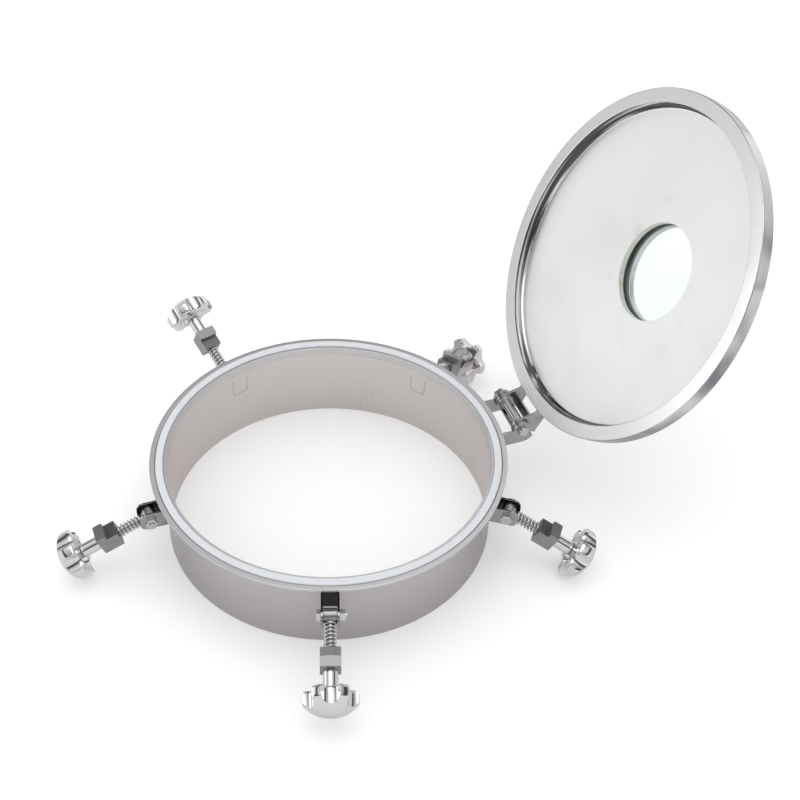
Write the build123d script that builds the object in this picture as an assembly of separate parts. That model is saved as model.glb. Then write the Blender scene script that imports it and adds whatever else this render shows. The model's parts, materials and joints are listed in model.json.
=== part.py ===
from build123d import *
import os
from math import atan2, cos, degrees, radians, sin, sqrt

# Round tank manway cover: a short weld-in neck, a hinged lid with an eccentric sight glass,
# and five swing-bolt clamps with sprung claws and lobed hand knobs.
#
# Frame: origin at the centre of the neck's bottom (weld) face, +Z up out of the tank,
# hinge on the +Y side. Shown with the lid open on its stop and the clamps swung out.
# All lengths are in millimetres and all angles in degrees.

# ---------------------------------------------------------------- neck and sealing rim
neck_bore_d = 300.0          # clear way through the manway
neck_wall = 2.5
rim_face_z = 82.0            # height of the sealing face above the weld face
rim_reach = 12.5             # how far the rim stands out past the neck tube
rim_height = 8.0             # the rim's collar, butt-welded to the neck tube
rim_lip_t = 2.0              # thickness of the rim's outer edge
rim_inner_lip = 2.5          # land between bore and gasket groove
groove_w = 7.8
groove_depth = 3.5
groove_floor_t = 2.0
groove_side_t = 2.3          # metal outside the groove, below the lip
gasket_w = 6.8
gasket_proud = 1.0           # how far the gasket stands above the rim
gasket_side_gap = 0.3        # between gasket and the groove's inner side
gasket_bevel_share = 0.12    # of its width, at each upper corner

# ---------------------------------------------------------------- lid
lid_inset = 1.5              # how far the lid's edge lies inside the rim's
lid_sheet = 2.0
lid_face_w = 14.0            # width of the flat ring that meets the gasket
lid_recess = 10.5            # depth of the dish below the plate
lid_skirt_h = 13.0
lid_seat_gap = 0.2           # left between lid and gasket when shut
lid_fold_r = 1.5             # outside radius of the folded edges
lid_weld_r = 3.0             # dressed weld between plate and folded rim
lid_weld_throat = 0.3        # share of the weld's size left at its middle

# ---------------------------------------------------------------- sight glass
sight_x = 29.0               # its centre, seen on the shut lid
sight_y = -14.5
sight_bore_d = 90.0
sight_frame_wall = 10.6      # metal round the glass pocket, which holds the screws
sight_seat_t = 5.5
sight_seat_w = 7.0           # how far the glass reaches past the bore all round
sight_glass_t = 10.0
sight_glass_gap = 0.4        # round the glass in its pocket
sight_seal_t = 1.5
sight_seal_back = 1.0        # how far the seals stop short of the bore
sight_ring_t = 6.0
sight_ring_gap = 1.0         # left between ring and frame so that the screws grip the glass
sight_screw_d = 5.0
sight_hole_gap = 0.3         # round the screws in the cover ring
sight_screw_count = 6
sight_screw_af = 8.0
sight_screw_head_t = 3.5
sight_screw_reach = 8.0      # thread length in the frame

# ---------------------------------------------------------------- lift handle
handle_bar_d = 10.0
handle_span = 84.0
handle_rise = 34.0
handle_inset = 51.5          # from the lid's edge, opposite the hinge
handle_bend_r = 14.0

# ---------------------------------------------------------------- hinge
pin_out = 19.5               # pin centre outside the rim's edge
pin_z = 78.0
pin_d = 8.0
pin_fit = 0.06               # radial running clearance in the lid's arms
hinge_open = 119.6           # lid angle at the stop
hinge_plate = 3.0
hinge_arm_x = 23.5           # centre of each neck arm
hinge_washer_t = 1.5
hinge_washer_d = 16.0
hinge_side_gap = 0.15        # each side of a washer or arm
hinge_eye_r = 9.0            # arm radius round the pin
neck_arm_drop = 15.0         # pin centre to the underside of the neck bracket
lid_arm_rise = 18.2          # pin centre to the top of the lid bracket, lid shut
lid_arm_clear = 1.0          # between the lid bracket and the neck's rim
lid_arm_lead = 2.0           # how far the lid bracket's top reaches past the pin
lid_web_reach = 6.0          # and how far its web reaches back from the pin
neck_web_back = 1.5          # how far the neck web starts inboard of the pin
stop_gap = 0.3
pin_head_d = 10.0
pin_head_t = 4.0
pin_nut_af = 13.0
pin_nut_t = 5.0

# ---------------------------------------------------------------- swing-bolt clamps
clamp_azimuths = [-18.0, 54.0, 126.0, 198.0, 270.0]
clamp_droops = [16.0, 26.5, 25.0, -27.6, 22.0]      # below level, as they stand
pivot_out = 7.0              # pivot centre outside the rim's edge
pivot_z = 57.5
pivot_bolt_d = 6.0
pivot_fit = 0.06
pivot_af = 10.0
pivot_head_t = 4.0
pivot_nut_t = 5.0
pivot_thread_end = 1.5       # bolt end showing past the nut
clevis_sheet = 1.9
clevis_gap = 12.4            # between the ears
clevis_h = 18.0
clevis_reach = 9.5           # pivot to the ears' outer edge
clevis_corner_r = 6.0
clevis_bend_r = 3.0

eye_d = 13.0
eye_side_gap = 0.2
rod_d = 8.0
rod_end = 78.0               # pivot to the rod's outer end

claw_near = 31.0             # pivot to the claw's ring end
claw_length = 19.2
claw_shoulder = 40.5         # pivot to the pressing face
claw_w = 18.0
claw_lid_side = 11.5         # rod axis to the face towards the lid
claw_back_side = 8.0
claw_pocket = 4.5
claw_crown = 0.8             # how far the pressing face is crowned
claw_edge_r = 1.2
claw_fit = 0.1

spring_d = 11.6
spring_wire = 1.2
spring_turns = 6.5
spring_end_gap = 0.15

sleeve_d = 12.7
sleeve_gap = 0.2             # between claw and sleeve
sleeve_collar_d = 15.0
sleeve_collar_t = 2.0
knob_near = 69.0             # pivot to the plane of the lobe tips
knob_d = 48.0
knob_side_h = 10.0
knob_dome_h = 10.5
knob_lobes = 6
knob_scallop_r = 8.6
knob_scallop_out = 26.2
knob_dish_d = 27.0
knob_dish_depth = 5.0
knob_dish_lip = 1.5          # bevel round the dish
knob_shoulder_r = 4.0
knob_bore_extra = 3.0        # bore left past the rod's end
cut_over = 1.0               # how far cutting shapes reach past what they cut

# ---------------------------------------------------------------- worked out from the above
bore_r = neck_bore_d / 2
neck_r = bore_r + neck_wall
rim_r = neck_r + rim_reach
rim_z0 = rim_face_z - rim_height
groove_r0 = bore_r + rim_inner_lip
groove_r1 = groove_r0 + groove_w
lid_r = rim_r - lid_inset
lid_face_z = rim_face_z + gasket_proud + lid_seat_gap
plate_z0 = lid_face_z + lid_recess
plate_z1 = plate_z0 + lid_sheet
lid_wall_r = lid_r - lid_face_w
lid_top_z = lid_face_z + lid_skirt_h
sight_glass_r = sight_bore_d / 2 + sight_seat_w
sight_pocket_r = sight_glass_r + sight_glass_gap
sight_frame_r = sight_pocket_r + sight_frame_wall
glass_z0 = plate_z0 + sight_seat_t + sight_seal_t
glass_z1 = glass_z0 + sight_glass_t
ring_z0 = glass_z1 + sight_seal_t
ring_z1 = ring_z0 + sight_ring_t
frame_top_z = ring_z0 - sight_ring_gap
sight_screw_pcr = (sight_frame_r + sight_pocket_r) / 2
handle_y = handle_inset - lid_r
pin_y = rim_r + pin_out
pivot_rho = rim_r + pivot_out
ear_y0 = clevis_gap / 2
ear_y1 = ear_y0 + clevis_sheet
knob_end = knob_near + knob_side_h + knob_dome_h
lid_arm_x = (hinge_arm_x - hinge_plate / 2 - hinge_washer_t - 2 * hinge_side_gap
             - hinge_plate / 2)

LOW = (Align.CENTER, Align.CENTER, Align.MIN)


# ---------------------------------------------------------------- small helpers
def disc(radius, z0, z1):
    """Solid cylinder about Z between two heights."""
    return Pos(0, 0, z0) * Cylinder(radius, z1 - z0, align=LOW)


def ring(inner, outer, z0, z1):
    """Plain ring about Z."""
    return disc(outer, z0, z1) - disc(inner, z0, z1)


def turned(points):
    """Revolve a closed (radius, height) outline about Z."""
    outline = Polyline(*[(r, 0, z) for r, z in points], close=True)
    return revolve(make_face(outline), Axis.Z)


def across_x(x0, x1, radius, y, z):
    """Round bar along X from x0 to x1, centred on (y, z)."""
    return Pos(x0, y, z) * Rot(0, 90, 0) * Cylinder(radius, x1 - x0, align=LOW)


def along_y(y0, y1, radius, x=0.0, z=0.0):
    """Round bar along Y from y0 to y1, centred on (x, z)."""
    return Pos(x, y0, z) * Rot(-90, 0, 0) * Cylinder(radius, y1 - y0, align=LOW)


def along_x(x0, x1, radius):
    """Round bar on the rod's axis, which is local X."""
    return across_x(x0, x1, radius, 0, 0)


def hexagon_y(y0, y1, across_flats):
    """Hexagonal prism along Y."""
    prism = extrude(RegularPolygon(across_flats / sqrt(3), 6), y1 - y0)
    return Pos(0, y0, 0) * Rot(-90, 0, 0) * prism


def hexagon_x(x0, x1, across_flats, y, z):
    """Hexagonal prism along X."""
    prism = extrude(RegularPolygon(across_flats / sqrt(3), 6), x1 - x0)
    return Pos(x0, y, z) * Rot(0, 90, 0) * prism


def plate_in_yz(outline, x0, x1):
    """Flat plate cut to a (y, z) outline, between two x values."""
    face = make_face(Polyline(*[(x0, y, z) for y, z in outline], close=True))
    return extrude(face, x1 - x0, dir=(1, 0, 0))


# ---------------------------------------------------------------- neck
def neck_tube():
    return ring(bore_r, neck_r, 0, rim_z0)


def rim_flange():
    floor_z = rim_face_z - groove_depth
    under_z = floor_z - groove_floor_t
    side_r = groove_r1 + groove_side_t
    return turned([
        (bore_r, rim_z0), (neck_r, rim_z0), (neck_r, under_z), (side_r, under_z),
        (side_r, rim_face_z - rim_lip_t), (rim_r, rim_face_z - rim_lip_t),
        (rim_r, rim_face_z), (groove_r1, rim_face_z), (groove_r1, floor_z),
        (groove_r0, floor_z), (groove_r0, rim_face_z), (bore_r, rim_face_z)])


def rim_gasket():
    r0 = groove_r0 + gasket_side_gap
    r1 = r0 + gasket_w
    z0 = rim_face_z - groove_depth
    z1 = rim_face_z + gasket_proud
    bevel = gasket_w * gasket_bevel_share
    return turned([(r0, z0), (r1, z0), (r1, z1 - bevel), (r1 - bevel, z1),
                   (r0 + bevel, z1), (r0, z1 - bevel)])


def rim_envelope():
    """Space under and inside the rim that a welded bracket stops against."""
    under_z = rim_face_z - groove_depth - groove_floor_t
    return (disc(neck_r, 0, rim_face_z)
            + disc(groove_r1 + groove_side_t, under_z, rim_face_z)
            + disc(rim_r, rim_face_z - rim_lip_t, rim_face_z))


# ---------------------------------------------------------------- lid, modelled shut
def lid_plate():
    plate = disc(lid_wall_r, plate_z0, plate_z1)
    weld = turned([(lid_wall_r, plate_z0), (lid_wall_r - lid_weld_r, plate_z0),
                   (lid_wall_r - lid_weld_r * lid_weld_throat,
                    plate_z0 - lid_weld_r * lid_weld_throat),
                   (lid_wall_r, plate_z0 - lid_weld_r)])
    return plate + weld - sight_at(disc(sight_frame_r, plate_z0, plate_z1))


def lid_rim():
    z0 = lid_face_z
    channel = turned([
        (lid_wall_r, z0 + lid_fold_r), (lid_wall_r + lid_fold_r, z0),
        (lid_r - lid_fold_r, z0), (lid_r, z0 + lid_fold_r),
        (lid_r, lid_top_z), (lid_r - lid_sheet, lid_top_z),
        (lid_r - lid_sheet, z0 + lid_sheet), (lid_wall_r + lid_sheet, z0 + lid_sheet),
        (lid_wall_r + lid_sheet, plate_z1), (lid_wall_r, plate_z1)])
    return channel


def sight_at(shape):
    """Move a shape from the lid's centre to the sight glass."""
    return Pos(sight_x, sight_y, 0) * shape


def sight_frame():
    seat_z = plate_z0 + sight_seat_t
    body = turned([(sight_bore_d / 2, plate_z0), (sight_frame_r, plate_z0),
                   (sight_frame_r, frame_top_z), (sight_pocket_r, frame_top_z),
                   (sight_pocket_r, seat_z), (sight_bore_d / 2, seat_z)])
    hole = disc(sight_screw_d / 2, frame_top_z - sight_screw_reach, frame_top_z)
    return sight_at(body - screw_circle(hole))


def screw_circle(shape):
    """Copies of a shape on the sight glass's screw circle, as one compound."""
    return Compound([loc * shape for loc in PolarLocations(sight_screw_pcr, sight_screw_count)])


def sight_seal(z0):
    return sight_at(ring(sight_bore_d / 2 + sight_seal_back, sight_glass_r, z0,
                         z0 + sight_seal_t))


def sight_glass():
    glass = disc(sight_glass_r, glass_z0, glass_z1)
    return sight_at(chamfer(glass.edges(), sight_seal_t / 2))


def sight_cover_ring():
    body = ring(sight_bore_d / 2, sight_frame_r, ring_z0, ring_z1)
    body = chamfer(body.edges().group_by(Axis.Z)[-1], sight_ring_t / 6)
    hole = disc(sight_screw_d / 2 + sight_hole_gap, ring_z0, ring_z1)
    return sight_at(body - screw_circle(hole))


def sight_screws():
    head = Pos(0, 0, ring_z1) * extrude(RegularPolygon(sight_screw_af / sqrt(3), 6),
                                        sight_screw_head_t)
    shank = disc(sight_screw_d / 2, frame_top_z - sight_screw_reach, ring_z1)
    return sight_at(screw_circle(head + shank))


def lift_handle():
    half = handle_span / 2
    top_z = plate_z1 + handle_rise
    path = FilletPolyline((-half, handle_y, plate_z1), (-half, handle_y, top_z),
                          (half, handle_y, top_z), (half, handle_y, plate_z1),
                          radius=handle_bend_r)
    start = Plane(origin=path @ 0, z_dir=path % 0)
    return sweep(start * Circle(handle_bar_d / 2), path)


def lid_bracket():
    """Two arms and a cross web, bent from plate and welded to the lid's skirt."""
    top = pin_z + lid_arm_rise
    foot = lid_face_z + lid_fold_r
    back = lid_wall_r
    lead = pin_y + lid_arm_lead
    arm_inside = lid_arm_x - hinge_plate / 2
    arm_outside = lid_arm_x + hinge_plate / 2
    bracket = None
    for x0 in (-arm_outside, arm_inside):
        arm = plate_in_yz([(back, foot), (rim_r + lid_arm_clear, foot),
                           (pin_y - hinge_eye_r * 0.8, pin_z - hinge_eye_r * 0.6),
                           (pin_y, pin_z), (lead, pin_z), (lead, top), (back, top)],
                          x0, x0 + hinge_plate)
        arm += across_x(x0, x0 + hinge_plate, hinge_eye_r, pin_y, pin_z)
        bracket = arm if bracket is None else bracket + arm
    web_y0 = pin_y - lid_web_reach
    bracket += Pos(0, web_y0, top) * Box(2 * arm_outside, lead - web_y0, hinge_plate,
                                         align=(Align.CENTER, Align.MIN, Align.MAX))
    bracket -= disc(lid_r, 0, 2 * lid_top_z)
    return bracket - across_x(-arm_outside, arm_outside, pin_d / 2 + pin_fit, pin_y, pin_z)


def opened(shape):
    """Turn a lid piece from shut to the open stop about the hinge pin."""
    return Pos(0, pin_y, pin_z) * Rot(-hinge_open, 0, 0) * Pos(0, -pin_y, -pin_z) * shape


# ---------------------------------------------------------------- hinge on the neck
def stop_angle():
    """Where the neck web ends: just short of the opened lid bracket's leading edge."""
    inner = neck_arm_drop - hinge_plate
    lead = degrees(atan2(sqrt(inner ** 2 - lid_arm_lead ** 2), lid_arm_lead))
    return lead - hinge_open - degrees(stop_gap / inner)


def neck_bracket():
    """Two arms joined under the pin by a web that curls up to make the lid's stop."""
    outside = hinge_arm_x + hinge_plate / 2
    end = radians(stop_angle())
    wedge = [(0, 0), (0, -2 * neck_arm_drop), (2 * neck_arm_drop, -2 * neck_arm_drop),
             (2 * neck_arm_drop * cos(end), 2 * neck_arm_drop * sin(end))]
    sector = plate_in_yz([(pin_y + y, pin_z + z) for y, z in wedge], -outside, outside)
    sector &= across_x(-outside, outside, neck_arm_drop, pin_y, pin_z)
    arms = None
    for x0 in (-outside, outside - hinge_plate):
        arm = plate_in_yz([(bore_r, pin_z - neck_arm_drop), (pin_y, pin_z - neck_arm_drop),
                           (pin_y, pin_z), (bore_r, pin_z)], x0, x0 + hinge_plate)
        arm += across_x(x0, x0 + hinge_plate, hinge_eye_r, pin_y, pin_z)
        side = Pos(x0, pin_y, pin_z) * Box(hinge_plate, 4 * neck_arm_drop, 4 * neck_arm_drop,
                                           align=(Align.MIN, Align.CENTER, Align.CENTER))
        arm += sector & side
        arms = arm if arms is None else arms + arm
    web = sector - across_x(-outside, outside, neck_arm_drop - hinge_plate, pin_y, pin_z)
    flat = Pos(0, pin_y, pin_z - neck_arm_drop) * Box(
        2 * outside, neck_web_back, hinge_plate, align=(Align.CENTER, Align.MAX, Align.MIN))
    bracket = arms + web + flat - rim_envelope()
    return bracket - across_x(-outside, outside, pin_d / 2, pin_y, pin_z)


def hinge_pin():
    outside = hinge_arm_x + hinge_plate / 2
    shank = across_x(-outside - pin_nut_t, outside, pin_d / 2, pin_y, pin_z)
    head = across_x(outside, outside + pin_head_t, pin_head_d / 2, pin_y, pin_z)
    return shank + chamfer(head.edges().group_by(Axis.X)[-1], pin_head_t / 4)


def hinge_nut():
    outside = hinge_arm_x + hinge_plate / 2
    nut = hexagon_x(-outside - pin_nut_t, -outside, pin_nut_af, pin_y, pin_z)
    return nut - across_x(-outside - pin_nut_t, -outside, pin_d / 2, pin_y, pin_z)


def hinge_washers():
    """One washer each side of each lid arm."""
    outer_x = hinge_arm_x - hinge_plate / 2 - hinge_side_gap - hinge_washer_t
    inner_x = lid_arm_x - hinge_plate / 2 - hinge_side_gap - hinge_washer_t
    washers = []
    for x0 in (outer_x, inner_x):
        for start in (x0, -x0 - hinge_washer_t):
            end = start + hinge_washer_t
            washers.append(across_x(start, end, hinge_washer_d / 2, pin_y, pin_z)
                           - across_x(start, end, pin_d / 2, pin_y, pin_z))
    return Compound(washers)


# ---------------------------------------------------------------- clamp pieces
# Local frame of a clamp: pivot at the origin, X outward, Y across, Z up.
def clevis():
    """U-bent strip welded to the neck under the rim."""
    back = neck_r - pivot_rho
    blank = Pos(back - neck_wall, 0, 0) * Box(
        clevis_reach - back + neck_wall, 2 * ear_y1, clevis_h,
        align=(Align.MIN, Align.CENTER, Align.CENTER))
    blank = fillet(blank.edges().filter_by(Axis.Y).group_by(Axis.X)[-1], clevis_corner_r)
    slot = Pos(back + clevis_sheet, 0, 0) * Box(
        clevis_reach - back, clevis_gap, 2 * clevis_h,
        align=(Align.MIN, Align.CENTER, Align.CENTER))
    bend = slot.edges().filter_by(Axis.Z).group_by(Axis.X)[0]
    slot = fillet(bend, clevis_bend_r - clevis_sheet)
    hole = along_y(-ear_y1, ear_y1, pivot_bolt_d / 2)
    neck = Pos(-pivot_rho, 0, 0) * Cylinder(neck_r, 4 * clevis_h)
    return blank - slot - hole - neck


def pivot_bolt():
    end = ear_y1 + pivot_nut_t + pivot_thread_end
    head = hexagon_y(-ear_y1 - pivot_head_t, -ear_y1, pivot_af)
    return head + along_y(-ear_y1, end, pivot_bolt_d / 2)


def pivot_nut():
    nut = hexagon_y(ear_y1, ear_y1 + pivot_nut_t, pivot_af)
    return nut - along_y(ear_y1, ear_y1 + pivot_nut_t, pivot_bolt_d / 2)


def eye_bolt():
    half = ear_y0 - eye_side_gap
    eye = along_y(-half, half, eye_d / 2)
    rod = along_x(0, rod_end, rod_d / 2)
    rod = chamfer(rod.edges().group_by(Axis.X)[-1], rod_d / 8)
    return eye + rod - along_y(-half, half, pivot_bolt_d / 2 + pivot_fit)


def spring():
    start = eye_d / 2 + spring_wire / 2 + spring_end_gap
    length = claw_near - spring_wire / 2 - spring_end_gap - start
    coil_r = (spring_d - spring_wire) / 2
    path = Helix(length / spring_turns, length, coil_r)
    section = Plane(origin=path @ 0, z_dir=path % 0) * RegularPolygon(spring_wire / 2, 6)
    return Pos(start, 0, 0) * Rot(0, 90, 0) * sweep(section, path, is_frenet=True)


def claw():
    """Block on the rod with a pocket for the lid's edge and a crowned pressing face."""
    block = Pos(claw_near, 0, -claw_back_side) * Box(
        claw_length, claw_w, claw_back_side + claw_lid_side,
        align=(Align.MIN, Align.CENTER, Align.MIN))
    block = fillet(block.edges().filter_by(Axis.X).group_by(Axis.Z)[0], 2 * claw_edge_r)
    block = chamfer(block.edges().filter_by(Axis.Y).group_by(Axis.X)[-1], claw_edge_r)
    side = claw_w / 2 + cut_over
    start = claw_near - cut_over
    crown = make_face([
        Line((start, -side), (start, side)),
        Line((start, side), (claw_shoulder + claw_crown, side)),
        ThreePointArc((claw_shoulder + claw_crown, side), (claw_shoulder, 0),
                      (claw_shoulder + claw_crown, -side)),
        Line((claw_shoulder + claw_crown, -side), (start, -side))])
    pocket = Pos(0, 0, claw_lid_side - claw_pocket) * extrude(crown, 2 * claw_pocket,
                                                              dir=(0, 0, 1))
    bore = along_x(start, claw_near + claw_length + cut_over, rod_d / 2 + claw_fit)
    return block - pocket - bore


def knob_sleeve():
    """Threaded bush that the knob is fixed to; it pushes the claw."""
    near = claw_near + claw_length + sleeve_gap
    hub_z = knob_near + knob_dish_depth
    body = along_x(near, hub_z, sleeve_d / 2)
    body = chamfer(body.edges().group_by(Axis.X)[0], sleeve_d / 20)
    body += along_x(hub_z - sleeve_collar_t, hub_z, sleeve_collar_d / 2)
    return body - along_x(near, hub_z, rod_d / 2 + claw_fit)


def knob():
    """Six-lobed domed hand knob with a dished underside."""
    r = knob_d / 2
    tip = knob_near
    floor = tip + knob_dish_depth
    dish_r = knob_dish_d / 2
    shoulder = tip + knob_side_h
    dome_r = (r ** 2 + knob_dome_h ** 2) / (2 * knob_dome_h)
    outline = make_face([
        Line((0, tip), (r, tip)),
        Line((r, tip), (r, shoulder)),
        RadiusArc((r, shoulder), (0, knob_end), -dome_r),
        Line((0, knob_end), (0, tip))])
    corner = outline.vertices().sort_by_distance((r, shoulder, 0))[0]
    outline = fillet(corner, knob_shoulder_r)
    body = revolve(Plane.XZ * outline, Axis.Z)
    scallop = disc(knob_scallop_r, tip, knob_end)
    for place in PolarLocations(knob_scallop_out, knob_lobes):
        body -= place * scallop
    dish = turned([(0, tip), (dish_r + knob_dish_lip, tip), (dish_r, tip + knob_dish_lip),
                   (dish_r - knob_dish_lip, floor), (0, floor)])
    body -= dish
    body -= disc(rod_d / 2 + claw_fit, floor, rod_end + knob_bore_extra)
    return Rot(0, 90, 0) * body


def droop(shape, angle):
    """Swing a clamp piece below level about its pivot."""
    return Rot(0, angle, 0) * shape


def on_neck(shape, azimuth):
    """Carry a clamp piece from its local frame to its place round the neck."""
    return Rot(0, 0, azimuth) * Pos(pivot_rho, 0, pivot_z) * shape


# ---------------------------------------------------------------- build and write
def all_pieces():
    pieces = {
        "neck_tube": neck_tube(),
        "rim_flange": rim_flange(),
        "rim_gasket": rim_gasket(),
        "hinge_neck_bracket": neck_bracket(),
        "hinge_pin": hinge_pin(),
        "hinge_nut": hinge_nut(),
        "hinge_washers": hinge_washers(),
        "lid_plate": opened(lid_plate()),
        "lid_rim": opened(lid_rim()),
        "hinge_lid_bracket": opened(lid_bracket()),
        "lift_handle": opened(lift_handle()),
        "sight_frame": opened(sight_frame()),
        "sight_seal_inner": opened(sight_seal(plate_z0 + sight_seat_t)),
        "sight_glass": opened(sight_glass()),
        "sight_seal_outer": opened(sight_seal(glass_z1)),
        "sight_cover_ring": opened(sight_cover_ring()),
        "sight_screws": opened(sight_screws()),
    }
    fixed = {"clevis": clevis(), "pivot_bolt": pivot_bolt(), "pivot_nut": pivot_nut()}
    swinging = {"eye_bolt": eye_bolt(), "spring": spring(), "claw": claw(),
                "knob_sleeve": knob_sleeve(), "knob": knob()}
    for number, (azimuth, angle) in enumerate(zip(clamp_azimuths, clamp_droops), start=1):
        for name, shape in fixed.items():
            pieces[f"{name}_{number}"] = on_neck(shape, azimuth)
        for name, shape in swinging.items():
            pieces[f"{name}_{number}"] = on_neck(droop(shape, angle), azimuth)
    return pieces


os.makedirs("parts", exist_ok=True)
for node, shape in all_pieces().items():
    export_step(shape, f"parts/{node}.step")
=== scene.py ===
import json
from math import atan2, cos, hypot, pi, radians, sin, sqrt, tau

import bpy
from mathutils import Matrix, Vector

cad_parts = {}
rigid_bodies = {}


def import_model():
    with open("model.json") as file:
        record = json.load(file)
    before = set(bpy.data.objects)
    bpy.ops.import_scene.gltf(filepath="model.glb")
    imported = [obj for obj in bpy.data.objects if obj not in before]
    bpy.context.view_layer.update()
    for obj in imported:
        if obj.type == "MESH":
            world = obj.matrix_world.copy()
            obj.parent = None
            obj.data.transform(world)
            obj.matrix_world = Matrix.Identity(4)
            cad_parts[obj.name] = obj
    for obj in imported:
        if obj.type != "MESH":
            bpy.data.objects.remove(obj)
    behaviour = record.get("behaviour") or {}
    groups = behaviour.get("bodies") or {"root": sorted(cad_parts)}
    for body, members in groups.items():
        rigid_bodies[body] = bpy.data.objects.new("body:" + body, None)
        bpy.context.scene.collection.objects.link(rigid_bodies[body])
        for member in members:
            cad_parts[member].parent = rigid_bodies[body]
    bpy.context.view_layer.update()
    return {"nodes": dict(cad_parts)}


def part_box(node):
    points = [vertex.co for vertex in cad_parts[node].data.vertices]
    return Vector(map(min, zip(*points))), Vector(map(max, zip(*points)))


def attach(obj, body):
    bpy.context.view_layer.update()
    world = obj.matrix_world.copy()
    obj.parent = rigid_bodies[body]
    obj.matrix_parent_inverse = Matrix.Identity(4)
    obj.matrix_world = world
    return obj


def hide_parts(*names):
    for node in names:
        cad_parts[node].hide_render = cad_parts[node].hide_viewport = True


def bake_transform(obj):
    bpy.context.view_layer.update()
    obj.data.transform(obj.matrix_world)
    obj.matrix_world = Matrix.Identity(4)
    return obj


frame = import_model()

# Sizes are in metres, in the frame of the neck: +Z up, hinge on the +Y side.
MM = 0.001
CUT_OVER = 5.0 * MM          # how far a cutting shape reaches past what it cuts

# ------------------------------------------------------------------ neck and rim
BORE_R = 150.0 * MM
NECK_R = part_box("neck_tube")[1].x
COLLAR_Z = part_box("neck_tube")[1].z
RIM_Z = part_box("rim_flange")[1].z
RIM_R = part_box("rim_flange")[1].x
LIP_T = 2.0 * MM
GROOVE_R0 = 152.5 * MM
GROOVE_R1 = 160.3 * MM
GROOVE_FLOOR = RIM_Z - 3.5 * MM
RIM_UNDER = GROOVE_FLOOR - 2.0 * MM
RIM_SIDE_R = GROOVE_R1 + 2.3 * MM
GASKET_R0 = 152.8 * MM
GASKET_R1 = 159.6 * MM
GASKET_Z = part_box("rim_gasket")[1].z
ROUND_STEPS = 224            # sides of the large turned pieces

# ------------------------------------------------------------------ lid, as it is when shut
PIN = Vector((0.0, 184.5 * MM, 78.0 * MM))
LID_OPEN = radians(119.6)
LID_R = 163.5 * MM
LID_WALL_R = 149.5 * MM
LID_FACE_Z = 83.2 * MM
LID_TOP_Z = 96.2 * MM
LID_SHEET = 2.0 * MM
PLATE_Z0 = 93.7 * MM
PLATE_Z1 = 95.7 * MM
WELD_R = 4.0 * MM

# ------------------------------------------------------------------ sight glass
SIGHT = Vector((29.0 * MM, -14.5 * MM, 0.0))
SIGHT_BORE_R = 45.0 * MM
SIGHT_FRAME_R = 63.0 * MM
SIGHT_SEAT_Z = PLATE_Z0 + 5.5 * MM
SIGHT_SEAL_T = 1.5 * MM
GLASS_R = 52.0 * MM
GLASS_Z0 = SIGHT_SEAT_Z + SIGHT_SEAL_T
GLASS_Z1 = GLASS_Z0 + 10.0 * MM
COVER_Z0 = GLASS_Z1 + SIGHT_SEAL_T
COVER_Z1 = COVER_Z0 + 6.0 * MM
SIGHT_STEPS = 128            # sides of the sight glass's turned pieces

# Turns a lid piece from shut to the open stop, and carries one from the lid's centre to the sight.
OPENING = (Matrix.Translation(PIN) @ Matrix.Rotation(-LID_OPEN, 4, "X")
           @ Matrix.Translation(-PIN))
TO_SIGHT = Matrix.Translation(SIGHT)

# ------------------------------------------------------------------ lift handle
HANDLE_BAR_R = 5.0 * MM
HANDLE_HALF = 42.0 * MM
HANDLE_Y = -112.0 * MM
HANDLE_TOP_Z = PLATE_Z1 + 34.0 * MM
HANDLE_BEND_R = 14.0 * MM

# ------------------------------------------------------------------ clamps
CLAMP_AZIMUTHS = (-18.0, 54.0, 126.0, 198.0, 270.0)
CLAMP_DROOPS = (16.0, 26.5, 25.0, -27.6, 22.0)
PIVOT = Vector((172.0 * MM, 0.0, 57.5 * MM))
CLEVIS_HALF_GAP = 6.3 * MM
EYE_R = 6.5 * MM
EYE_HALF = 6.0 * MM          # half its length along the pivot bolt
PIVOT_HOLE_R = 3.06 * MM
ROD_R = 4.0 * MM
ROD_END = 78.0 * MM
ROD_FIT = 0.1 * MM           # clearance of the claw and the bush round the rod
THREAD_PITCH = 1.25 * MM
THREAD_DEPTH = 0.65 * MM
CLAW_NEAR = 31.0 * MM
CLAW_FAR = 50.2 * MM
CLAW_SHOULDER = 40.5 * MM
CLAW_W = 18.0 * MM
CLAW_LID_SIDE = 11.5 * MM
CLAW_BACK_SIDE = 8.0 * MM
CLAW_POCKET = 4.5 * MM
CLAW_CROWN = 0.8 * MM
SPRING_R = 5.2 * MM
SPRING_WIRE_R = 0.68 * MM
SPRING_TURNS = 6.5
SPRING_END_GAP = 0.15 * MM
HEAT_PRINT_HALF = 8.0 * MM   # the bracket welds' heat prints inside the neck, half their width
HEAT_PRINT_DROP = 9.0 * MM   # and their reach above and below the pivot
SLEEVE_R = 6.35 * MM
SLEEVE_NEAR = CLAW_FAR + 0.2 * MM
COLLAR_R = SLEEVE_R + 1.2 * MM
KNOB_TIP = 69.0 * MM
KNOB_R = 24.0 * MM
KNOB_SHOULDER = KNOB_TIP + 10.0 * MM
KNOB_TOP = KNOB_SHOULDER + 10.5 * MM
KNOB_LOBES = 6
SCALLOP_R = 8.6 * MM
SCALLOP_OUT = 26.2 * MM
DISH_R = 13.5 * MM
DISH_FLOOR = KNOB_TIP + 5.0 * MM
COLLAR_NEAR = DISH_FLOOR - 2.0 * MM


# ------------------------------------------------------------------ modelling helpers
def pick(piece):
    """Leaves only this piece selected, in object mode."""
    if bpy.context.mode != "OBJECT":
        bpy.ops.object.mode_set(mode="OBJECT")
    bpy.ops.object.select_all(action="DESELECT")
    piece.select_set(True)
    bpy.context.view_layer.objects.active = piece
    return piece


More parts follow.
